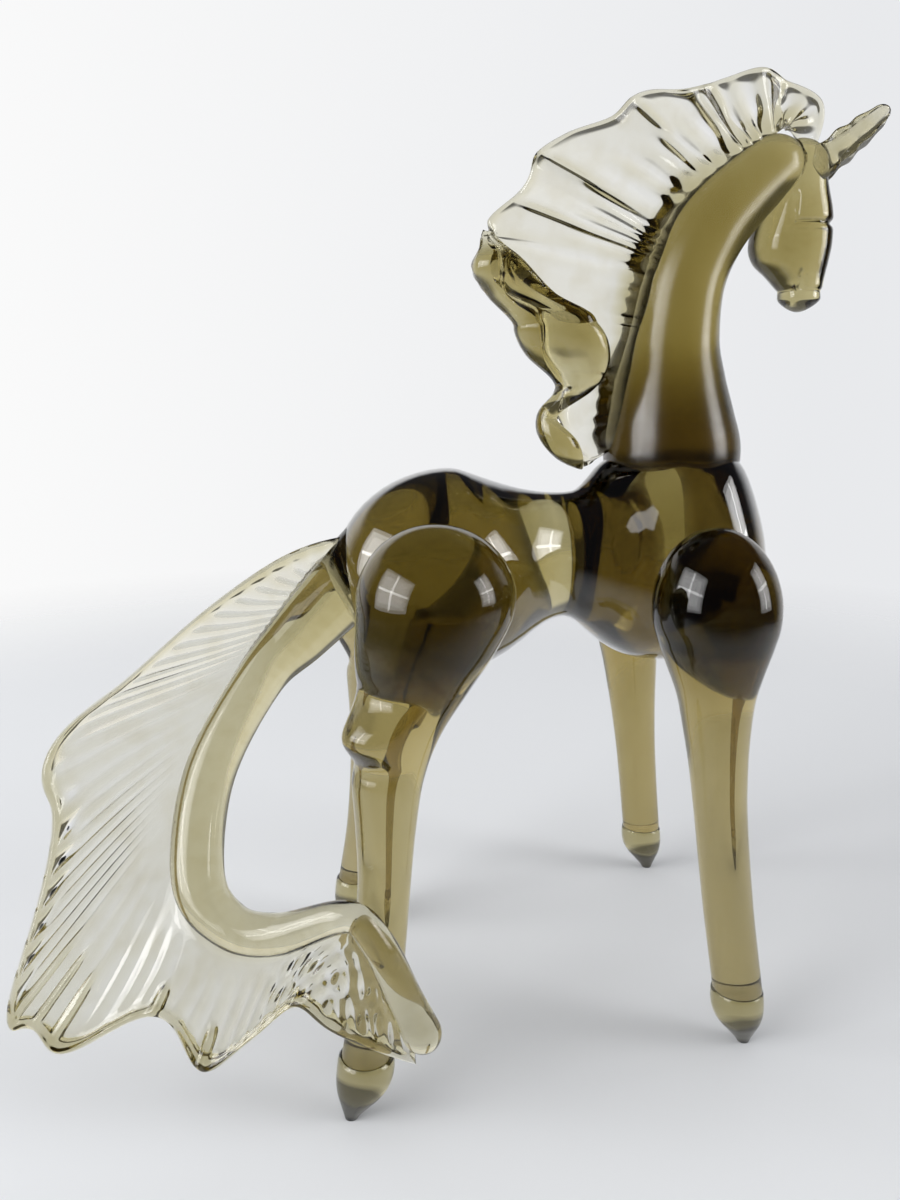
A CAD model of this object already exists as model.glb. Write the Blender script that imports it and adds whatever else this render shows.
import math
from bisect import bisect_right

import bmesh
import bpy
from mathutils import Matrix, Vector


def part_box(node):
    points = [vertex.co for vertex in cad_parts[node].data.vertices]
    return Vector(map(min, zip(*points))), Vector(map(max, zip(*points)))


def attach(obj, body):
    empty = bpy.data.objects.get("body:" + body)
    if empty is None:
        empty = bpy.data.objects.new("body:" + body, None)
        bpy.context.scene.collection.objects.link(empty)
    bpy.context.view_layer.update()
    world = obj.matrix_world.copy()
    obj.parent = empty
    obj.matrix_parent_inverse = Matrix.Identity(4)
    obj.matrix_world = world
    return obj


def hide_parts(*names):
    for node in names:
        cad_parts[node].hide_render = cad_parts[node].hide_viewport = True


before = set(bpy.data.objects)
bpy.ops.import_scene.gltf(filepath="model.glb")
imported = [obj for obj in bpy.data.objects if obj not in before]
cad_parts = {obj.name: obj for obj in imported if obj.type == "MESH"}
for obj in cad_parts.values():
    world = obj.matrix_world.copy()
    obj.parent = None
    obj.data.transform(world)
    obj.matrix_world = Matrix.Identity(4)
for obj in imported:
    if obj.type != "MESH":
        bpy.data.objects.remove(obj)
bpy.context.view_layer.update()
scene = bpy.context.scene

# Torso: a solid gather of smoky glass, pinched at the waist into a rump ball and a longer chest ball.
# It is made first and the rest is laid on it; a collar is drawn up from the chest to take the neck.
# All lengths are millimetres from the waist: x ahead, y to the horse's left, z from the floor.
back_height, waist_lift = 114, 2.4
rump_radius, waist_radius, chest_radius = 24.5, 15.5, 25.5
waist_half_width = 13
rump_slope, chest_slope = 29, 25
torso_rear, torso_front = -56, 52
rump_round, chest_round = 28.5, 19.3
torso_stations = []
for x in range(torso_rear, torso_front + 1, 4):
    full_radius, slope_length = (chest_radius, chest_slope) if x > 0 else (rump_radius, rump_slope)
    swell = 0.5 - 0.5 * math.cos(math.pi * min(1, abs(x) / slope_length))
    radius = waist_radius + (full_radius - waist_radius) * swell
    width = waist_half_width + (full_radius - waist_half_width) * swell
    torso_stations.append((x, 0, back_height + waist_lift * (1 - swell), radius, width))
torso_low, torso_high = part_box("torso")
waist_place = (torso_low.x - torso_rear / 1000, (torso_low.y + torso_high.y) / 2, 0)
to_frame = Matrix.Translation(waist_place) @ Matrix.Scale(0.001, 4)


class Route:
    """A smooth curve through stations (x, y, z, half depth, half width), walked by length."""

    def __init__(self, stations, steps=12):
        spots = [Vector(station) for station in stations]
        spots = [2 * spots[0] - spots[1], *spots, 2 * spots[-1] - spots[-2]]
        self.spots = []
        for before, start, end, after in zip(spots, spots[1:], spots[2:], spots[3:]):
            for step in range(steps):
                t = step / steps
                bend = 2 * before - 5 * start + 4 * end - after
                twist = 3 * start - before - 3 * end + after
                self.spots.append((2 * start + (end - before) * t + bend * t**2 + twist * t**3) / 2)
        self.spots.append(spots[-2])
        self.lengths = [0.0]
        for before, after in zip(self.spots, self.spots[1:]):
            self.lengths.append(self.lengths[-1] + (Vector(after[:3]) - Vector(before[:3])).length)
        self.total = self.lengths[-1]

    def heading(self, index):
        """Direction of the curve at one of its spots."""
        before = self.spots[max(index - 1, 0)]
        after = self.spots[min(index + 1, len(self.spots) - 1)]
        return (Vector(after[:3]) - Vector(before[:3])).normalized()

    def at(self, distance):
        """Centre, heading, half depth and half width at a distance from the start."""
        distance = min(max(distance, 0), self.total)
        index = min(bisect_right(self.lengths, distance), len(self.spots) - 1)
        start, end = self.lengths[index - 1], self.lengths[index]
        share = (distance - start) / (end - start)
        spot = self.spots[index - 1] + (self.spots[index] - self.spots[index - 1]) * share
        along = self.heading(index - 1).lerp(self.heading(index), share).normalized()
        return Vector(spot[:3]), along, spot[3], spot[4]


def gather(
    route, start_round, end_round, sideways=(0, 1, 0), axis=None, sides=72, spacing=1.4, shape=None
):
    """A bmesh of solid glass drawn along a route, its ends rounded off over the given lengths."""
    straight = route.total - start_round - end_round
    count = max(2, round(straight / spacing))
    rows = [(start_round + straight * step / count, 1) for step in range(count + 1)]
    ring_angle = 6
    for angle in range(90 - ring_angle, -ring_angle, -ring_angle):
        inset, swell = 1 - math.cos(math.radians(angle)), math.sin(math.radians(angle))
        if start_round or not angle:
            rows.insert(0, (start_round * inset, swell))
        if end_round or not angle:
            rows.append((route.total - end_round * inset, swell))
    rings = []
    for distance, swell in rows:
        centre, along, depth, width = route.at(distance)
        along = Vector(axis) if axis else along
        side = Vector(sideways)
        side = (side - along * side.dot(along)).normalized()
        rings.append((centre, side * width * swell, side.cross(along) * depth * swell))
    bm = bmesh.new()
    bmesh.ops.create_grid(bm, x_segments=sides, y_segments=len(rings) - 1, size=0.5)
    for vert in bm.verts:
        turn = 2 * math.pi * (vert.co.x + 0.5)
        centre, side, out = rings[round((vert.co.y + 0.5) * (len(rings) - 1))]
        vert.co = centre + side * math.cos(turn) + out * math.sin(turn)
        if shape:
            vert.co = shape(vert.co)
    bmesh.ops.remove_doubles(bm, verts=bm.verts, dist=0.0005)
    return bm


def piece_from(bm, name, glass):
    """Sets a bmesh in millimetres down in the frame as a smooth piece of that glass."""
    bmesh.ops.recalc_face_normals(bm, faces=bm.faces)
    bmesh.ops.transform(bm, matrix=to_frame, verts=bm.verts)
    mesh = bpy.data.meshes.new(name)
    bm.to_mesh(mesh)
    bm.free()
    mesh.shade_smooth()
    mesh.materials.append(glass)
    piece = bpy.data.objects.new(name, mesh)
    scene.collection.objects.link(piece)
    return piece


def smoky_glass(
    name, wave=0.05, wave_length=9, stretch=(1, 1, 1), seeds=0.02, smoke=120, haze=0, coat=0
):
    """Grey-brown glass coloured by its depth, with hand-worked waves (mm), faint cords and tiny seeds.

    Haze blurs what is seen through the glass, and a coat keeps the reflections on it sharp.
    """
    glass = bpy.data.materials.new(name)
    glass.use_nodes = True
    nodes, links = glass.node_tree.nodes, glass.node_tree.links
    body = nodes["Principled BSDF"]
    body.inputs["Transmission Weight"].default_value = 1
    body.inputs["IOR"].default_value = 1.5
    body.inputs["Coat Weight"].default_value = coat
    body.inputs["Coat Roughness"].default_value = 0
    place = nodes.new("ShaderNodeTexCoord")
    drawn = nodes.new("ShaderNodeMapping")
    drawn.inputs["Scale"].default_value = stretch
    links.new(place.outputs["Object"], drawn.inputs["Vector"])
    waves = nodes.new("ShaderNodeTexNoise")
    waves.inputs["Scale"].default_value = 1000 / wave_length
    waves.inputs["Detail"].default_value = 0.6
    waves.inputs["Roughness"].default_value = 0.3
    links.new(drawn.outputs["Vector"], waves.inputs["Vector"])
    wave_bump = nodes.new("ShaderNodeBump")
    wave_bump.inputs["Strength"].default_value = 1
    wave_bump.inputs["Distance"].default_value = wave / 1000
    links.new(waves.outputs["Fac"], wave_bump.inputs["Height"])
    cells = nodes.new("ShaderNodeTexVoronoi")
    cells.inputs["Scale"].default_value = 170
    links.new(place.outputs["Object"], cells.inputs["Vector"])
    seed = nodes.new("ShaderNodeMapRange")
    seed.inputs["From Min"].default_value = 0.02
    seed.inputs["From Max"].default_value = 0.05
    links.new(cells.outputs["Distance"], seed.inputs["Value"])
    seed_bump = nodes.new("ShaderNodeBump")
    seed_bump.inputs["Strength"].default_value = 1
    seed_bump.inputs["Distance"].default_value = seeds / 1000
    links.new(seed.outputs["Result"], seed_bump.inputs["Height"])
    links.new(wave_bump.outputs["Normal"], seed_bump.inputs["Normal"])
    links.new(seed_bump.outputs["Normal"], body.inputs["Normal"])
    cords = nodes.new("ShaderNodeTexNoise")
    cords.inputs["Scale"].default_value = 2600 / wave_length
    cords.inputs["Detail"].default_value = 3
    links.new(drawn.outputs["Vector"], cords.inputs["Vector"])
    tint = nodes.new("ShaderNodeValToRGB")
    tint.color_ramp.elements[0].position = 0.3
    tint.color_ramp.elements[0].color = (0.94, 0.925, 0.88, 1)
    tint.color_ramp.elements[1].position = 0.55
    tint.color_ramp.elements[1].color = (1, 1, 1, 1)
    tint.name = "Tint"
    links.new(cords.outputs["Fac"], tint.inputs["Fac"])
    links.new(tint.outputs["Color"], body.inputs["Base Color"])
    gloss = nodes.new("ShaderNodeMapRange")
    gloss.inputs["To Min"].default_value = haze
    gloss.inputs["To Max"].default_value = haze + 0.012
    links.new(cords.outputs["Fac"], gloss.inputs["Value"])
    links.new(gloss.outputs["Result"], body.inputs["Roughness"])
    depth = nodes.new("ShaderNodeVolumeAbsorption")
    depth.inputs["Color"].default_value = (0.56, 0.475, 0.025, 1)
    depth.inputs["Density"].default_value = smoke
    links.new(depth.outputs["Volume"], nodes["Material Output"].inputs["Volume"])
    return glass


def hand_over(piece, node):
    """The finished piece stands for that CAD node, sits on the one body and takes that slot's finish."""
    piece.data.set_sharp_from_angle(angle=math.radians(40))
    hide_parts(node)
    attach(piece, "root")


neck_foot_x, neck_foot_z = 29, 134
collar_radius, collar_width, collar_lift = 17, 9, 7


def drawn_collar(spot):
    """Lifts a ring of glass round the neck's foot out of the top of the chest."""
    ring = (math.hypot(spot.x - neck_foot_x, spot.y) - collar_radius) / collar_width
    if spot.z > back_height and abs(ring) < 1:
        spot.z += collar_lift * (spot.z - back_height) / chest_radius * math.cos(ring * math.pi / 2) ** 2
    return spot


torso_glass = smoky_glass("torso_glass", wave=0.06, wave_length=14, smoke=62, haze=0.03, coat=1)
torso = piece_from(
    gather(Route(torso_stations), rump_round, chest_round, sides=96, shape=drawn_collar),
    "torso_gather",
    torso_glass,
)
hand_over(torso, "torso")

# Neck: a rod of the same glass stuck hot on the chest, where it flares like a bell.
# It is pulled up and bent ahead in one arch, so it thins steadily towards the poll.
neck_stations = [
    (neck_foot_x, 0, neck_foot_z, 16.1, 16.1),
    (28.7, 0, 142, 16.75, 16.75),
    (28.1, 0, 149.9, 15.25, 15.25),
    (27.7, 0, 159, 13, 13),
    (28, 0, 169, 10.8, 10.8),
    (30, 0, 182.1, 9.65, 9.65),
    (35.3, 0, 193.4, 9.3, 9.3),
    (44.7, 0, 203, 8.15, 8.15),
    (54.1, 0, 210.5, 7, 7),
    (57.5, 0, 213.5, 6.5, 6.5),
]
neck_foot_round, neck_end_round = 3, 7


def lay_on(piece, *others, overlap=0.15):
    """Cuts the piece back to what it is laid on, less a thin overlap (mm) for light to pass the joint."""
    for other in others:
        seat = bpy.data.objects.new("seat", other.data)
        scene.collection.objects.link(seat)
        sink = seat.modifiers.new("sink", "DISPLACE")
        sink.mid_level = 0
        sink.strength = -overlap / 1000
        cut = piece.modifiers.new("cut", "BOOLEAN")
        cut.operation = "DIFFERENCE"
        cut.solver = "MANIFOLD"
        cut.object = seat
        scene_state = bpy.context.evaluated_depsgraph_get()
        laid = bpy.data.meshes.new_from_object(piece.evaluated_get(scene_state))
        piece.modifiers.clear()
        piece.data = laid
        bpy.data.objects.remove(seat)


def tint_by_height(glass, stops):
    """Tints the glass at heights (mm), with uneven edges, so that thick and thin parts keep a tone."""
    nodes, links = glass.node_tree.nodes, glass.node_tree.links
    low, high = stops[0][0], stops[-1][0]
    waviness = 0.004
    axes = nodes.new("ShaderNodeSeparateXYZ")
    links.new(nodes["Texture Coordinate"].outputs["Object"], axes.inputs["Vector"])
    uneven = nodes.new("ShaderNodeMath")
    uneven.operation = "MULTIPLY_ADD"
    uneven.inputs[1].default_value = waviness
    links.new(nodes["Noise Texture"].outputs["Fac"], uneven.inputs[0])
    links.new(axes.outputs["Z"], uneven.inputs[2])
    height = nodes.new("ShaderNodeMapRange")
    height.inputs["From Min"].default_value = low / 1000 + waviness / 2
    height.inputs["From Max"].default_value = high / 1000 + waviness / 2
    links.new(uneven.outputs["Value"], height.inputs["Value"])
    shades = nodes.new("ShaderNodeValToRGB")
    links.new(height.outputs["Result"], shades.inputs["Fac"])
    ramp = shades.color_ramp
    while len(ramp.elements) < len(stops):
        ramp.elements.new(0.5)
    for element, (level, colour) in zip(ramp.elements, stops):
        element.position = (level - low) / (high - low)
        element.color = (*colour, 1)
    shaded = nodes.new("ShaderNodeMix")
    shaded.data_type = "RGBA"
    shaded.blend_type = "MULTIPLY"
    shaded.inputs["Factor"].default_value = 1
    links.new(nodes["Tint"].outputs["Color"], shaded.inputs["A"])
    links.new(shades.outputs["Color"], shaded.inputs["B"])
    links.new(shaded.outputs["Result"], nodes["Principled BSDF"].inputs["Base Color"])


neck_route = Route(neck_stations)
clear = (1, 1, 1)
neck_shades = [(130, (0.5, 0.44, 0.38)), (148, (0.55, 0.49, 0.42)), (166, clear), (216, clear)]
neck_glass = smoky_glass(
    "neck_glass", wave=0.07, wave_length=10, stretch=(1, 1, 0.3), smoke=152, haze=0.2
)
tint_by_height(neck_glass, neck_shades)
neck = piece_from(
    gather(neck_route, neck_foot_round, neck_end_round, sides=80), "neck_rod", neck_glass
)
lay_on(neck, torso)
hand_over(neck, "neck")

# Head: a wedge-shaped drop hung on the end of the neck and turned a little to the horse's right.
# The muzzle is nipped with pincers, which leaves a groove and a small clear lip below it.
poll = Vector(neck_stations[-1][:3])
head_turn = math.radians(31)
head_ahead = Vector((math.cos(head_turn), -math.sin(head_turn), 0))
head_left = Vector((math.sin(head_turn), math.cos(head_turn), 0))
head_down = Vector((0, 0, -1))
head_steps = [
    (1, -1.6, 6, 5.2),
    (1.4, 7.8, 6.5, 5.8),
    (0.9, 15.2, 8.7, 7),
    (0.2, 22, 9.8, 7.4),
    (0.5, 26.5, 9, 6.9),
    (1.9, 30, 7, 5.9),
    (3, 32.8, 5.6, 5.3),
    (3.2, 34.2, 5.1, 4.9),
    (3.3, 35.8, 5, 4.9),
    (3.2, 38.4, 3.6, 3.9),
]
head_stations = [
    (*(poll + head_ahead * reach + head_down * drop), depth, width)
    for reach, drop, depth, width in head_steps
]


def smooth_step(low, high, value):
    """Rises smoothly from 0 at low to 1 at high."""
    share = min(max((value - low) / (high - low), 0), 1)
    return share * share * (3 - 2 * share)


def bell(value, middle, spread):
    """Is 1 at the middle and falls off smoothly on both sides of it."""
    return math.exp(-(((value - middle) / spread) ** 2))


poll_round, lip_round = 5, 3.5
face_middle, plate_back, plate_foot = 1.5, 0.6, 18
mouth_ahead, lip_drop = 3.2, 33.4
plate_groove, mouth_groove, lip_groove = 0.9, 0.6, 0.25


def tooled_face(spot):
    """Grooves left by the tools: the edge of the brow plate, the mouth and the nip above the lip."""
    drop = poll.z - spot.z
    ahead, left = head_ahead.dot(spot - poll), head_left.dot(spot - poll)
    plate = max(plate_back - ahead, drop - plate_foot)
    groove = plate_groove * bell(plate, 0, 0.75) * smooth_step(10, 12.5, drop)
    mouth = bell(ahead, mouth_ahead, 0.5) * smooth_step(28, 30, drop) * smooth_step(34, 33, drop)
    groove += mouth_groove * mouth
    groove += lip_groove * bell(drop, lip_drop, 0.6)
    inward = head_ahead * (face_middle - ahead) - head_left * left
    return spot + inward.normalized() * groove


head_glass = smoky_glass("head_glass", wave=0.06, wave_length=7, smoke=155)
head_bmesh = gather(
    Route(head_stations),
    poll_round,
    lip_round,
    sideways=head_left,
    axis=head_down,
    sides=128,
    spacing=0.4,
    shape=tooled_face,
)
head = piece_from(head_bmesh, "head_drop", head_glass)
lay_on(head, neck, overlap=-0.05)
hand_over(head, "head")

# Ears: two small bits of glass touched on above the brow and pulled out to leaves.
# The pincers leave each leaf cupped, with a wavy edge and a thick foot.
ear_rise = math.radians(38)
ear_length, ear_half_width, ear_half_thickness = 18.5, 2.9, 1.6
ear_ahead, ear_down, ear_aside = 5.04, 5.07, 3
ear_cup, ear_foot_round, ear_tip_round = 1.4, 1, 2.4
ear_steps = [
    (-0.1, 1.25), (0.08, 1.35), (0.24, 1.1), (0.38, 1.2),
    (0.52, 0.95), (0.64, 1), (0.8, 0.76), (1, 0.62),
]
ear_along = head_ahead * math.cos(ear_rise) + Vector((0, 0, math.sin(ear_rise)))
ear_across = head_left.cross(ear_along)
ear_glass = smoky_glass("ear_glass", wave=0.05, wave_length=7, seeds=0)
ears = []
for side, node in ((-1, "right_ear"), (1, "left_ear")):
    ear_foot = poll + head_ahead * ear_ahead + head_down * ear_down + head_left * ear_aside * side
    ear_stations = [
        (*(ear_foot + ear_along * ear_length * share), ear_half_width * swell, ear_half_thickness * swell)
        for share, swell in ear_steps
    ]

    def cupped_leaf(spot):
        """Bends the leaf's edges outwards, more towards its tip."""
        across = ear_across.dot(spot - ear_foot) / ear_half_width
        share = ear_along.dot(spot - ear_foot) / ear_length
        cup = ear_cup * across * across * smooth_step(0.1, 0.45, share)
        return spot + head_left * side * cup

    ear_bmesh = gather(
        Route(ear_stations),
        ear_foot_round,
        ear_tip_round,
        sideways=head_left,
        sides=40,
        spacing=0.5,
        shape=cupped_leaf,
    )
    ear = piece_from(ear_bmesh, node + "_leaf", ear_glass)
    lay_on(ear, head, neck)
    hand_over(ear, node)
    ears.append(ear)

# Mane: a ribbon of glass laid hot along the crest from the brow to the withers.
# It is pressed thin with ribbed pincers, ruffled, and its lower end is turned back on itself.
mane_rows = [
    (1, 0.69, 0.99, 0),
    (0.985, 0.66, 1.13, 0),
    (0.96, 0.4, 1.2, 0),
    (0.9, 0.17, 1.17, 0),
    (0.84, -0.05, 1.125, 0),
    (0.79, -0.25, 1.115, 0),
    (0.73, -0.4, 1.04, 0),
    (0.68, -0.61, 0.99, 0),
    (0.62, -0.75, 0.93, 0),
    (0.575, -0.81, 0.84, 0),
    (0.53, -0.97, 0.75, 0),
    (0.48, -0.98, 0.64, 8),
    (0.43, -0.93, 0.555, 13),
    (0.38, -0.78, 0.485, 15),
    (0.32, -0.72, 0.395, 15),
    (0.26, -0.61, 0.3, 7),
    (0.2, -0.67, 0.205, 2),
    (0.15, -0.61, 0.115, 4),
    (0.11, -0.47, 0.05, 0),
]
mane_spread, mane_rise = 50, 79.5
mane_seat, fold_roll = 0.85, 8
pleats = [0, 0.09, 0.18, 0.285, 0.43, 0.515, 0.61, 0.72]
pleat_swing = 4
ribs_in_pleat = 3
mane_sheet, mane_rim, mane_root = 0.85, 1.2, 5
upper_cord, lower_cord_extra = 2.8, 2.6
stroke_swell, flap_swell, flap_wave = 1.3, 2.4, 0.9
fold_lobe, low_lobe, mane_ball = 7.5, 4.5, 5.5
fold_lobe_run, low_lobe_run, mane_ball_run = 0.62, 0.74, 0.93


def pressed_sheet(middle, thickness, run_steps, breadth_steps):
    """A bmesh of a thin sheet with round rims, from its middle and its thickness at (run, breadth)."""
    end_share, flat_share = 0.1, 0.75
    bm = bmesh.new()
    bmesh.ops.create_grid(bm, x_segments=run_steps, y_segments=breadth_steps, size=0.5)
    copies = bmesh.ops.extrude_face_region(bm, geom=bm.faces[:], use_keep_orig=True)["geom"]
    copied = {vert for vert in copies if isinstance(vert, bmesh.types.BMVert)}
    points, halves = [], []
    for column in range(run_steps + 1):
        end_turn = min(1, min(column, run_steps - column) / run_steps / end_share)
        run = column / run_steps
        spine = [middle(run, step / 8) for step in range(9)]
        reach = sum((after - before).length for before, after in zip(spine, spine[1:]))
        rim = min(0.3, thickness(run, 1) / 2 / reach)
        points.append([])
        halves.append([])
        for row in range(breadth_steps + 1):
            turn = max(0, row / breadth_steps - flat_share) / (1 - flat_share) * math.pi / 2
            breadth = min(row / breadth_steps / flat_share, 1) * (1 - rim) + rim * math.sin(turn)
            points[-1].append(middle(run, breadth))
            rounding = math.cos(turn) * math.sin(math.acos(1 - end_turn))
            halves[-1].append(thickness(run, breadth) / 2 * rounding)
    for vert in bm.verts:
        column = round((vert.co.x + 0.5) * run_steps)
        row = round((vert.co.y + 0.5) * breadth_steps)
        along = points[min(column + 1, run_steps)][row] - points[max(column - 1, 0)][row]
        across = points[column][min(row + 1, breadth_steps)] - points[column][max(row - 1, 0)]
        lift = along.cross(across).normalized() * halves[column][row]
        vert.co = points[column][row] + (lift if vert in copied else -lift)
    bmesh.ops.remove_doubles(bm, verts=bm.verts, dist=0.002)
    return bm


def row_at(rows, run):
    """Values of the rows at a share of the run, on a smooth curve through them."""
    place = min(max(run, 0), 1) * (len(rows) - 1)
    index = min(int(place), len(rows) - 2)
    t = place - index
    before, start, end, after = (
        Vector(rows[min(max(step, 0), len(rows) - 1)]) for step in range(index - 1, index + 3)
    )
    bend = 2 * before - 5 * start + 4 * end - after
    twist = 3 * start - before - 3 * end + after
    return (2 * start + (end - before) * t + bend * t**2 + twist * t**3) / 2


def pleat_at(run):
    """How many pleats lie before a share of the run, with the part of the one it lies in."""
    index = min(max(bisect_right(pleats, run), 1), len(pleats) - 1)
    return index - 1 + (run - pleats[index - 1]) / (pleats[index] - pleats[index - 1])


def mane_row(run):
    """Where the ribbon leaves the neck, where its edge lies, and how far that edge is turned back."""
    share, ahead, rise, turn_back = row_at(mane_rows, run)
    centre, along, depth, _ = neck_route.at(share * neck_route.total)
    foot = centre - Vector((0, 1, 0)).cross(along) * depth * mane_seat
    edge = Vector((neck_foot_x + ahead * mane_spread, 0, neck_foot_z + rise * mane_rise))
    return foot, edge, max(turn_back, 0)


def mane_middle(run, breadth):
    """The ribbon's middle: out from the neck, pleated, and turned back on itself at the lower end."""
    foot, edge, turn_back = mane_row(run)
    outward = edge - foot
    fold = turn_back / outward.length
    folded = min(20 * fold, 1)
    over = 1.05 + 0.4 * fold
    roll = min(2 * fold, 1) * fold_roll
    first = (1 / 3 + (over - 1 / 3) * folded, roll)
    second = (2 / 3 + (over - 2 / 3) * folded, -roll)
    last = (1 - fold, -roll)
    a, b, c = 3 * breadth * (1 - breadth) ** 2, 3 * breadth**2 * (1 - breadth), breadth**3
    spread = a * first[0] + b * second[0] + c * last[0]
    swing = a * first[1] + b * second[1] + c * last[1]
    pleat = pleat_at(run) % 1
    shell = math.sqrt(math.sin(math.pi * pleat) ** 2 + 0.03) - 0.6
    swing -= pleat_swing * shell * smooth_step(0.1, 0.5, breadth) * smooth_step(0.57, 0.47, run)
    return foot + outward * spread + Vector((0, swing, 0))


def mane_thickness(run, breadth):
    """A thick root that runs out into a thin ribbed ribbon, thicker again where it is turned back."""
    foot, edge, turn_back = mane_row(run)
    whole = (edge - foot).length
    away = (mane_middle(run, breadth) - foot).length
    pleat = pleat_at(run) % 1
    uneven = 1.1 * math.sin(37 * run) + 0.8 * math.sin(61 * run + 1)
    ribs = math.sin(pleat_at(run) * ribs_in_pleat * 2 * math.pi + uneven)
    slow = math.sin(23 * run + 0.5) + 0.6 * math.sin(41 * run)
    unfolded = smooth_step(0.62, 0.55, run)
    cord = upper_cord + lower_cord_extra * smooth_step(0.3, 0.5, run)
    root_reach = mane_root + 0.3 * ribs + 0.6 * slow
    root = cord * math.exp(-((away / root_reach) ** 3)) * (1 + 0.1 * slow)
    rib_depth = 0.36 * smooth_step(0.75, 0.45, breadth) + 0.45 * smooth_step(0.3, 0.2, run)
    crease = bell(min(pleat, 1 - pleat), 0, 0.06) * unfolded
    stroke = stroke_swell * crease * smooth_step(0.45, 0.75, breadth) * smooth_step(0.98, 0.85, breadth)
    flap = flap_swell * smooth_step(0.54, 0.62, run) * smooth_step(0.2, 0.7, breadth)
    waved = smooth_step(0.56, 0.64, run) * smooth_step(0.2, 0.4, breadth)
    flap += flap_wave * math.sin(15 * breadth + 9 * run) * waved
    lobe = fold_lobe * bell(run, fold_lobe_run, 0.04) * smooth_step(3, 9, turn_back)
    lobe *= smooth_step(0.4, 0.8, breadth)
    lobe += low_lobe * bell(run, low_lobe_run, 0.045) * smooth_step(0.25, 0.5, breadth)
    ball = mane_ball * bell(run, mane_ball_run, 0.05) * smooth_step(0.3, 0.8, breadth)
    rim = mane_rim * bell(whole * (1 - breadth), 0, 1.6)
    fade = smooth_step(0.02, 0.15, breadth) * smooth_step(1, 0.85, breadth) * unfolded
    return mane_sheet + root + rim + flap + lobe + ball + stroke + rib_depth * ribs * fade


mane_glass = smoky_glass("mane_glass", wave=0.06, wave_length=16, seeds=0.003, smoke=230)
mane = piece_from(pressed_sheet(mane_middle, mane_thickness, 420, 36), "mane_ribbon", mane_glass)
lay_on(mane, neck, head, torso, *ears)
hand_over(mane, "mane")

# Fore legs: a bulb of glass pressed against each shoulder and drawn down into a thin straight leg.
# The glass is brown in the shin, darkest at the foot of a near bulb and clear at the bulb's cap.
fore_stances = [
    ("fore_right_leg", 22.8, -36, 34, -38.7, [
        (0, 0, 1), (0.165, 0.04, 1), (0.22, 0.065, 0.86), (0.28, 0.1, 0.59), (0.34, 0.145, 0.34),
        (0.41, 0.2, 0.2), (0.49, 0.28, 0.09), (0.6, 0.4, 0.02), (0.8, 0.67, 0), (1, 1, 0),
    ]),
    ("fore_left_leg", 31, 36, 48.5, 46, [
        (0, 0, 1), (0.165, 0.165, 1), (0.25, 0.25, 0.86), (0.345, 0.345, 0.59), (0.44, 0.44, 0.34),
        (0.54, 0.54, 0.2), (0.65, 0.65, 0.09), (0.785, 0.785, 0.02), (1, 1, 0),
    ]),
]
fore_top, fore_bulb, fore_shin = 127.5, 28, 11.8
ankle = 15.2
leg_tints = [
    ("fore_right_leg", 115, (0.89, 0.83, 0.71), 100, [(102, (0.2, 0.21, 0.24))]),
    ("fore_left_leg", 78, (0.71, 0.62, 0.38), 84, []),
    ("hind_right_leg", 60, (0.69, 0.62, 0.4), 99, [(104, (0.24, 0.25, 0.3))]),
    ("hind_left_leg", 42, (0.63, 0.55, 0.34), 84, []),
]
cap_low, cap_top = 121, 131
leg_glasses = {}
for node, smoke, shin_colour, shin_top, dark_band in leg_tints:
    leg_glass = smoky_glass(
        node + "_glass", wave=0.06, wave_length=8, stretch=(1, 1, 0.18), smoke=smoke
    )
    shades = [(0, shin_colour), (shin_top, shin_colour), *dark_band, (cap_low, clear), (cap_top, clear)]
    tint_by_height(leg_glass, shades)
    leg_glasses[node] = leg_glass


def leg_stations(stance, top, bulb, shin):
    """Stations of a leg: a bulb at the top that is drawn down to an even shin."""
    _, bulb_x, bulb_y, foot_x, foot_y, steps = stance
    stations = []
    for fall, drift, swell in steps:
        radius = (shin + (bulb - shin) * swell) / 2
        x = bulb_x + (foot_x - bulb_x) * drift
        y = bulb_y + (foot_y - bulb_y) * drift
        stations.append((x, y, top + (ankle - top) * fall, radius, radius))
    return stations


for stance in fore_stances:
    node, steps = stance[0], stance[-1]
    stations = leg_stations(stance, fore_top, fore_bulb, fore_shin)
    bulb_round = (fore_top - ankle) * steps[1][0]
    leg_bmesh = gather(Route(stations), bulb_round, 0, axis=(0, 0, -1))
    leg = piece_from(leg_bmesh, node + "_rod", leg_glasses[node])
    lay_on(leg, torso)
    hand_over(leg, node)

# Hind legs: larger thigh bulbs drawn down to a thinner leg, bent at the hock.
# While soft the hock is pulled out backwards with pincers into a small flat tab.
hind_steps = [
    (0, 0, 1), (0.135, 0, 1), (0.21, 0.12, 0.86), (0.285, 0.3, 0.59), (0.365, 0.51, 0.34),
    (0.445, 0.64, 0.2), (0.54, 0.68, 0.09), (0.655, 0.715, 0.02), (0.84, 0.82, 0), (1, 1, 0),
]
hind_stances = [
    ("hind_right_leg", -40.4, -37.2, -57, -40.2, hind_steps),
    ("hind_left_leg", -31, 37.2, -47.6, 36, hind_steps),
]
hind_top, hind_bulb, hind_shin = 130.7, 32.4, 10.8
hock_step = 4
hock_height, hock_half_height = 90, 4.6
hock_reach, hock_groove = 4.5, 1.1
hock_behind, hock_outward = 0.78, 0.62

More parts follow.
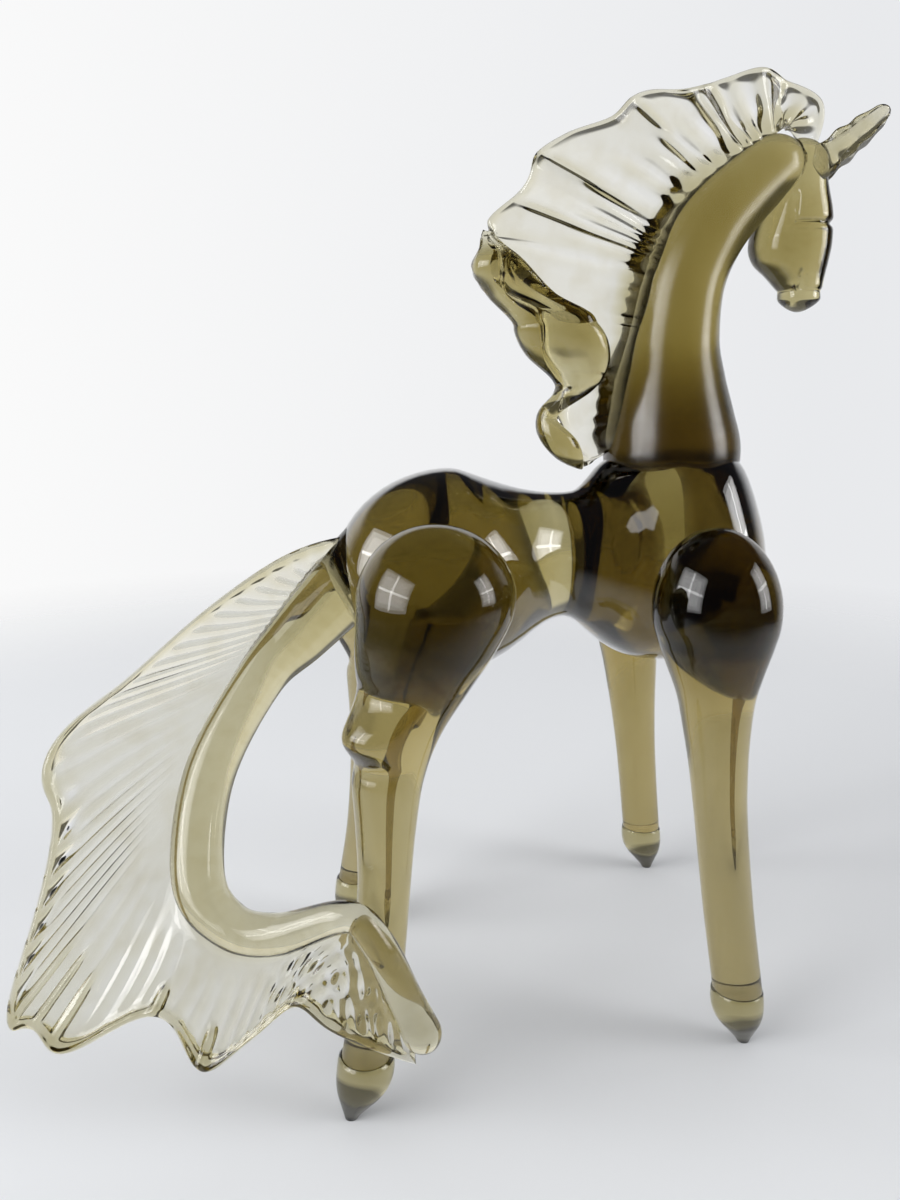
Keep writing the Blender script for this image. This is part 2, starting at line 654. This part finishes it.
for stance in hind_stances:
    node, steps = stance[0], stance[-1]
    stations = leg_stations(stance, hind_top, hind_bulb, hind_shin)
    hock_x, hock_y, _, hock_radius, _ = stations[hock_step]
    hock_back = Vector((-hock_behind, math.copysign(hock_outward, hock_y), 0))

    def pulled_hock(spot):
        """Pulls the back of the leg out at the hock, with a pinched groove above and below it."""
        back = hock_back.dot(spot - Vector((hock_x, hock_y, spot.z))) / hock_radius
        rise = (spot.z - hock_height) / hock_half_height
        pull = bell(rise, 0, 1) * smooth_step(0.25, 1, back)
        groove = bell(abs(rise), 1.7, 0.5) * smooth_step(0.1, 0.9, back)
        return spot + hock_back * (hock_reach * pull - hock_groove * groove)

    bulb_round = (hind_top - ankle) * steps[1][0]
    leg_bmesh = gather(Route(stations), bulb_round, 0, axis=(0, 0, -1), shape=pulled_hock)
    leg = piece_from(leg_bmesh, node + "_rod", leg_glasses[node])
    lay_on(leg, torso)
    hand_over(leg, node)

# Hooves: a bit of glass at the end of each leg, pressed to a point with flat pincers.
# The tip is ground flat to stand on, so it shows grey.
hoof_steps = [
    (15.35, 5.6, 0), (14.6, 6.15, 0), (10.5, 6.3, 0.12), (7, 5.4, 0.35),
    (4, 3.7, 0.65), (1.5, 2.2, 0.9), (0, 1.5, 1),
]
fore_toe, hind_toe = 2.7, -3.6
hoof_grey = (0.07, 0.068, 0.06)
hoof_glass = smoky_glass("hoof_glass", wave=0.1, wave_length=6)
tint_by_height(hoof_glass, [(0, hoof_grey), (6.5, hoof_grey), (7.5, clear), (16, clear)])
for stances, toe in ((fore_stances, fore_toe), (hind_stances, hind_toe)):
    for leg_node, _, _, foot_x, foot_y, _ in stances:
        node = leg_node.replace("_leg", "_hoof")
        stations = [
            (foot_x + toe * shift, foot_y, height, radius, radius) for height, radius, shift in hoof_steps
        ]
        hoof_bmesh = gather(Route(stations), 0, 0, axis=(0, 0, -1), spacing=0.5)
        hoof = piece_from(hoof_bmesh, node + "_bit", hoof_glass)
        hand_over(hoof, node)

# Tail stem: a thick rod pulled from the rump, bent down in a C and swung to the horse's right.
# Its end is folded over and drawn out to a short spout.
tail_root = Vector((-51, 0, 114))
tail_back, tail_side, tail_drop = 80, 50.1, 100
stem_steps = [
    (0, 0, 0, 9),
    (0.175, 0.05, 0.13, 7.35),
    (0.3, 0.12, 0.225, 5.7),
    (0.45, 0.28, 0.41, 5.7),
    (0.494, 0.5, 0.6, 5.7),
    (0.419, 0.66, 0.675, 4.85),
    (0.3, 0.78, 0.675, 4.3),
    (0.131, 0.96, 0.6, 3.15),
    (0.056, 1, 0.66, 3.4),
    (-0.013, 1, 0.8, 3.8),
    (-0.075, 1, 0.92, 4.4),
]
stem_stations = [
    (*(tail_root - Vector((tail_back * back, tail_side * side, tail_drop * drop))), radius, radius)
    for back, side, drop, radius in stem_steps
]
stem_route = Route(stem_stations)
stem_sunk = (*(tail_root + Vector((8, 1, 7.5))), 9.5, 9.5)
stem_root_round, spout_round = 2, 5
stem_glass = smoky_glass("stem_glass", wave=0.06, wave_length=7, smoke=92)
stem_bmesh = gather(Route([stem_sunk, *stem_stations]), stem_root_round, spout_round, spacing=0.8)
stem = piece_from(stem_bmesh, "tail_stem_rod", stem_glass)
lay_on(stem, torso)
hand_over(stem, "tail_stem")

# Tail fan: the outer side of the stem pressed out thin with ribbed pincers into a wide fan.
# The ribs run out from the stem to a scalloped edge that the flame has rounded. The left edge is notched,
# the lower edge is cut by furrows into fingers, and the part below the stem is crimped.
fan_rows = [
    (0.01, -4, 0, -9.5), (0.035, 10, 1, -8.5), (0.055, 25, 4, -1.5), (0.075, 42, 9, 10), (0.1, 54, 13, 20),
    (0.13, 65, 16, 26), (0.16, 70.3, 20, 35), (0.185, 68.6, 20, 41), (0.205, 68, 22, 46),
    (0.24, 70.5, 24, 57), (0.28, 74.5, 27, 69), (0.32, 79, 30, 81), (0.35, 79, 30, 88),
    (0.38, 73.7, 30, 86), (0.41, 71.5, 32, 93.5), (0.46, 63, 33, 91), (0.51, 54, 34, 85.8),
    (0.555, 47, 35.5, 85.5), (0.585, 44, 37, 93), (0.615, 40, 39, 98.5), (0.65, 34, 40.5, 93),
    (0.695, 27, 42, 87), (0.74, 20.5, 44, 80), (0.78, 17, 47, 84), (0.83, 10, 49, 88),
    (0.885, 3, 50, 92), (0.95, -4, 50, 96),
]
fan_seat, fan_easing, fan_samples, rib_line = 0.5, 0.011, 300, 0.6
fan_sheet, fan_root, fan_ripple = 0.95, 2.4, 0.06
rib_spacing, rib_height = 4, 0.3
rim_width, tip_swell = 2.2, 3
finger_tips = (0.46, 0.538, 0.73)
finger_furrows = (0.448, 0.495, 0.53, 0.635, 0.72)
furrow_swell, crimp_swell = 1.9, 0.6
notch_spacing, notch_inset = 5.6, 4.2


def fan_row(run):
    """Where the fan leaves the stem and where its edge lies, eased over the rows nearby."""
    nearby = [row_at(fan_rows, run + step * fan_easing) for step in range(-2, 3)]
    share, back, side, drop = sum(nearby, Vector((0, 0, 0, 0))) / len(nearby)
    centre, _, depth, _ = stem_route.at(share * stem_route.total)
    edge = tail_root - Vector((back, side, drop))
    return centre + (edge - centre).normalized() * depth * fan_seat, edge


fan_line = []
for step in range(fan_samples + 1):
    foot, edge = fan_row(step / fan_samples)
    fan_line.append(foot.lerp(edge, rib_line))
fan_lengths = [0.0]
for before, after in zip(fan_line, fan_line[1:]):
    fan_lengths.append(fan_lengths[-1] + (after - before).length)


def fan_length(run):
    """Length (mm) along a line through the fan at a share of the run."""
    place = min(max(run, 0), 1) * fan_samples
    index = min(int(place), fan_samples - 1)
    return fan_lengths[index] + (fan_lengths[index + 1] - fan_lengths[index]) * (place - index)


def fan_rib(run, breadth):
    """Height of the ribs, from -1 to 1, running out from the stem and fading at the rim."""
    fade = smooth_step(0.12, 0.6, breadth) * smooth_step(0.97, 0.85, breadth)
    upper_edge = smooth_step(0.45, 0.75, breadth) * smooth_step(0.42, 0.32, run)
    lower_part = smooth_step(0.26, 0.36, run)
    strength = 0.5 + 0.25 * upper_edge + 0.25 * lower_part
    turn = 2 * math.pi * fan_length(run) / rib_spacing + 0.7 * math.sin(7 * breadth + 11 * run)
    return (math.sin(turn) + 0.15 * math.sin(2 * turn + 0.6)) * fade * strength


def fan_middle(run, breadth):
    """The fan's middle: out from the stem to its scalloped edge, rippled by the ribs."""
    foot, edge = fan_row(run)
    return foot.lerp(edge, breadth) + Vector((0, fan_ripple * fan_rib(run, breadth), 0))


def fan_thickness(run, breadth):
    """Thin and ribbed, thicker at the stem and in the rolled rim, with notches, furrows and crimps."""
    foot, edge = fan_row(run)
    reach = (edge - foot).length
    inside = (1 - breadth) * reach
    notch_turn = 2 * math.pi * fan_length(run) / notch_spacing
    root = fan_root * bell(breadth * reach, 0, 3)
    rolled = 1.6 + 1.8 * math.sin(11 * run + 2 * math.sin(9 * run)) ** 2
    for tip in finger_tips:
        rolled += tip_swell * bell(run, tip, 0.026)
    rim = rolled * bell(inside, 0, rim_width)
    left_edge = smooth_step(0.18, 0.24, run) * smooth_step(0.46, 0.41, run)
    notch = left_edge * bell(inside, notch_inset, rim_width)
    notch *= (0.4 + 0.9 * smooth_step(0.26, 0.33, run)) * math.sin(notch_turn)
    furrow = sum(bell(run, place, 0.006) for place in finger_furrows)
    furrow *= furrow_swell * smooth_step(0.6, 0.8, breadth) * smooth_step(0.99, 0.93, breadth)
    drape = smooth_step(0.77, 0.83, run) * smooth_step(0.98, 0.94, run)
    crimp = crimp_swell * drape * smooth_step(0.15, 0.3, breadth) * smooth_step(0.98, 0.85, breadth)
    crimp *= math.sin(notch_turn + 2 * breadth) * math.sin(breadth * reach * 0.9 + 21 * run)
    return fan_sheet + root + rim + notch + furrow + crimp + rib_height * fan_rib(run, breadth)


fan_glass = smoky_glass("fan_glass", wave=0.06, wave_length=16, seeds=0.003, smoke=260)
fan = piece_from(pressed_sheet(fan_middle, fan_thickness, 640, 56), "tail_fan_sheet", fan_glass)
lay_on(fan, stem, torso)
hand_over(fan, "tail_fan")

# Floor: a sheet of plain pale paper that fades into the backdrop towards its edge.
# Where the glass mirrors it, the half nearer the camera is dark, as the room on that side is.
bpy.ops.mesh.primitive_circle_add(vertices=128, radius=0.7, fill_type="NGON", location=(0, 0, 0))
floor = bpy.context.active_object
floor.name = "floor"
paper = bpy.data.materials.new("paper")
paper.use_nodes = True


def facing(tree, heading, direction):
    """A socket that says how far a place or a heading lies in that direction."""
    node = tree.nodes.new("ShaderNodeVectorMath")
    node.operation = "DOT_PRODUCT"
    node.inputs[1].default_value = direction
    tree.links.new(heading, node.inputs[0])
    return node.outputs["Value"]


def eased(tree, value, low, high, start=0, end=1):
    """A socket that goes smoothly from start, where the value is low, to end, where it is high."""
    node = tree.nodes.new("ShaderNodeMapRange")
    node.interpolation_type = "SMOOTHSTEP"
    node.inputs["From Min"].default_value = low
    node.inputs["From Max"].default_value = high
    node.inputs["To Min"].default_value = start
    node.inputs["To Max"].default_value = end
    tree.links.new(value, node.inputs["Value"])
    return node.outputs["Result"]


def combined(tree, operation, first, second):
    """A socket with the product or the difference of two others, kept between 0 and 1."""
    node = tree.nodes.new("ShaderNodeMath")
    node.operation = operation
    node.use_clamp = True
    tree.links.new(first, node.inputs[0])
    tree.links.new(second, node.inputs[1])
    return node.outputs["Value"]


def mirrored(tree):
    """A socket that is 1 for what the glass mirrors and 0 for what is seen through it."""
    rays = tree.nodes.new("ShaderNodeLightPath").outputs
    return combined(tree, "SUBTRACT", rays["Is Glossy Ray"], rays["Is Transmission Ray"])


def blended(tree, share, first, second):
    """A socket with the first colour, turned into the second by a share. Each is a colour or a socket."""
    node = tree.nodes.new("ShaderNodeMix")
    node.data_type = "RGBA"
    tree.links.new(share, node.inputs["Factor"])
    for name, colour in (("A", first), ("B", second)):
        if isinstance(colour, tuple):
            node.inputs[name].default_value = (*colour, 1)
        else:
            tree.links.new(colour, node.inputs[name])
    return node.outputs["Result"]


camera_side = (-0.24, -0.97, 0)
tree = paper.node_tree
paper_body = tree.nodes["Principled BSDF"]
paper_body.inputs["Roughness"].default_value = 0.9
paper_body.inputs["Specular IOR Level"].default_value = 0.1
paper_place = tree.nodes.new("ShaderNodeTexCoord").outputs["Object"]
paper_near = eased(tree, facing(tree, paper_place, camera_side), 0, 0.35)
paper_dark = combined(tree, "MULTIPLY", paper_near, mirrored(tree))
paper_colour = blended(tree, paper_dark, (0.76, 0.775, 0.79), (0.04, 0.04, 0.04))
tree.links.new(paper_colour, paper_body.inputs["Base Color"])
paper_reach = tree.nodes.new("ShaderNodeVectorMath")
paper_reach.operation = "LENGTH"
tree.links.new(paper_place, paper_reach.inputs[0])
paper_fade = eased(tree, paper_reach.outputs["Value"], 0.3, 0.62)
paper_clear = tree.nodes.new("ShaderNodeBsdfTransparent")
paper_mix = tree.nodes.new("ShaderNodeMixShader")
tree.links.new(paper_fade, paper_mix.inputs["Fac"])
tree.links.new(paper_body.outputs["BSDF"], paper_mix.inputs[1])
tree.links.new(paper_clear.outputs["BSDF"], paper_mix.inputs[2])
tree.links.new(paper_mix.outputs["Shader"], tree.nodes["Material Output"].inputs["Surface"])
floor.data.materials.append(paper)

# Light: two large softboxes, one to the left and one to the right of the camera, each with a bright
# cross where its lamp shows through. The glass mirrors them, and they don't show through it.
softboxes = [
    ("left", -80, 17, 1.5, 1.6, 1.3, 5.2),
    ("right", 64, 15, 1.4, 0.65, 1, 4.8),
]
aim = Vector((0, 0, 0.12))
for name, turn, rise, distance, width, height, glow in softboxes:
    turn, rise = math.radians(turn), math.radians(rise)
    toward = Vector((math.sin(turn) * math.cos(rise), -math.cos(turn) * math.cos(rise), math.sin(rise)))
    panels = [
        ("panel", width, height, glow * 0.4, 0),
        ("middle", width * 0.85, height * 0.85, glow * 0.35, 0.002),
        ("core", width * 0.65, height * 0.65, glow * 0.25, 0.004),
        ("upright", width * 0.06, height * 0.9, glow, 0.006),
        ("bar", width * 0.9, height * 0.06, glow, 0.008),
    ]
    for part, wide, high, radiance, nearer in panels:
        lamp = bpy.data.lights.new(name + "_" + part, "AREA")
        lamp.shape = "RECTANGLE"
        lamp.size, lamp.size_y = wide, high
        lamp.energy = radiance * math.pi * wide * high
        softbox = bpy.data.objects.new(name + "_" + part, lamp)
        softbox.location = aim + toward * (distance - nearer)
        softbox.rotation_euler = toward.to_track_quat("Z", "Y").to_euler()
        softbox.visible_transmission = False
        scene.collection.objects.link(softbox)

# Backdrop: pale paper behind the horse, a little greyer to the right, that ends above the horse.
# The rest is a dim room, darker where the glass mirrors it. An even fill lights the floor.
far_side, right_side = (0.24, 0.97, 0), (0.97, -0.24, 0)
world = bpy.data.worlds.new("studio")
scene.world = world
world.use_nodes = True
tree = world.node_tree
sky_heading = tree.nodes.new("ShaderNodeTexCoord").outputs["Generated"]
sky_axes = tree.nodes.new("ShaderNodeSeparateXYZ")
tree.links.new(sky_heading, sky_axes.inputs["Vector"])
sky_behind = eased(tree, facing(tree, sky_heading, far_side), 0.25, 0.65)
sky_low = eased(tree, sky_axes.outputs["Z"], 0.36, 0.52, start=1, end=0)
sky_across = tree.nodes.new("ShaderNodeMapRange")
sky_across.inputs["From Min"].default_value = -0.45
sky_across.inputs["From Max"].default_value = 0.35
tree.links.new(facing(tree, sky_heading, right_side), sky_across.inputs["Value"])
sky_paper = blended(tree, sky_across.outputs["Result"], (0.96, 0.96, 0.96), (0.81, 0.82, 0.84))
sky_room = blended(tree, mirrored(tree), (0.16, 0.161, 0.165), (0.04, 0.04, 0.045))
sky_seen = blended(tree, combined(tree, "MULTIPLY", sky_behind, sky_low), sky_room, sky_paper)
sky_rays = tree.nodes.new("ShaderNodeLightPath")
sky_fill = blended(tree, sky_rays.outputs["Is Diffuse Ray"], sky_seen, (0.55, 0.55, 0.562))
tree.links.new(sky_fill, tree.nodes["Background"].inputs["Color"])

# Camera: at the place the photo was taken from, close to the horse's right side and a little above it.
# Light may pass many skins of glass on its way to it, and colours are shown plainly.
camera = bpy.data.objects.new("camera", bpy.data.cameras.new("camera"))
camera.location = to_frame @ Vector((-82.3, -217.1, 158))
camera.rotation_euler = (math.radians(77), 0, math.radians(-14))
camera.data.lens = 28.2
camera.data.sensor_width = 36
camera.data.clip_start = 0.01
scene.collection.objects.link(camera)
scene.camera = camera
scene.view_settings.view_transform = "Standard"
scene.cycles.max_bounces = 20
scene.cycles.transmission_bounces = 20
scene.cycles.glossy_bounces = 12
scene.cycles.transparent_max_bounces = 16
